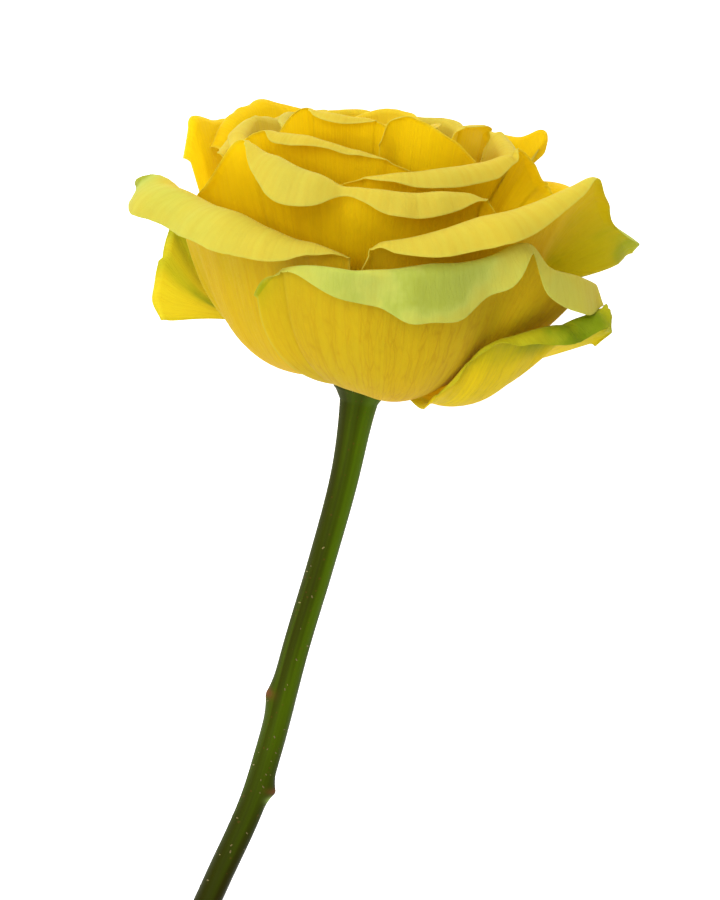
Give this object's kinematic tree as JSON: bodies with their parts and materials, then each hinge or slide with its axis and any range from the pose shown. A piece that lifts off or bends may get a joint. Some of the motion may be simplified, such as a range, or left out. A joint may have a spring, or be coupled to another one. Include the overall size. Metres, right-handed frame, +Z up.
{
  "type": "cut rose",
  "caption": "Cut rose with a broad open bloom of rolled-edge petals on a slender bent stem, lying on its side on a surface.",
  "frame": {"origin": "centre of the bounding box at its bottom, on the surface that the rose lies on", "axes": "+Y along the rose from the cut end of the stem to the bloom, +Z up from the surface, +X to the right of the bloom as seen from above with the bloom at the top"},
  "size_m": [0.1172, 0.2366, 0.1019],
  "materials": {
    "petal": "soft living petal with a faint velvety sheen",
    "inner_petal": "soft living petal, deeper yellow",
    "guard_petal": "soft outer petal flushed and streaked with green",
    "sepal_leaf": "matte green leaf",
    "stem_skin": "smooth waxy dark green bark"
  },
  "bodies": {
    "root": {"heart_petal_1": "inner_petal", "heart_petal_2": "inner_petal", "heart_petal_3": "inner_petal", "inner_petal_1": "inner_petal", "inner_petal_2": "inner_petal", "inner_petal_3": "inner_petal", "inner_petal_4": "inner_petal", "inner_petal_5": "inner_petal", "middle_petal_1": "petal", "middle_petal_2": "petal", "middle_petal_3": "petal", "middle_petal_4": "petal", "middle_petal_5": "petal", "middle_petal_6": "petal", "middle_petal_7": "petal", "middle_petal_8": "petal", "middle_petal_9": "petal", "middle_petal_10": "petal", "middle_petal_11": "petal", "outer_petal_1": "petal", "outer_petal_2": "petal", "outer_petal_3": "petal", "outer_petal_4": "petal", "outer_petal_5": "petal", "outer_petal_6": "petal", "outer_petal_7": "petal", "outer_petal_8": "petal", "outer_petal_9": "petal", "guard_petal_1": "guard_petal", "guard_petal_2": "guard_petal", "guard_petal_3": "guard_petal", "sepal_1": "sepal_leaf", "sepal_2": "sepal_leaf", "sepal_3": "sepal_leaf", "sepal_4": "sepal_leaf", "sepal_5": "sepal_leaf", "stem": "stem_skin"}
  },
  "joints": []
}
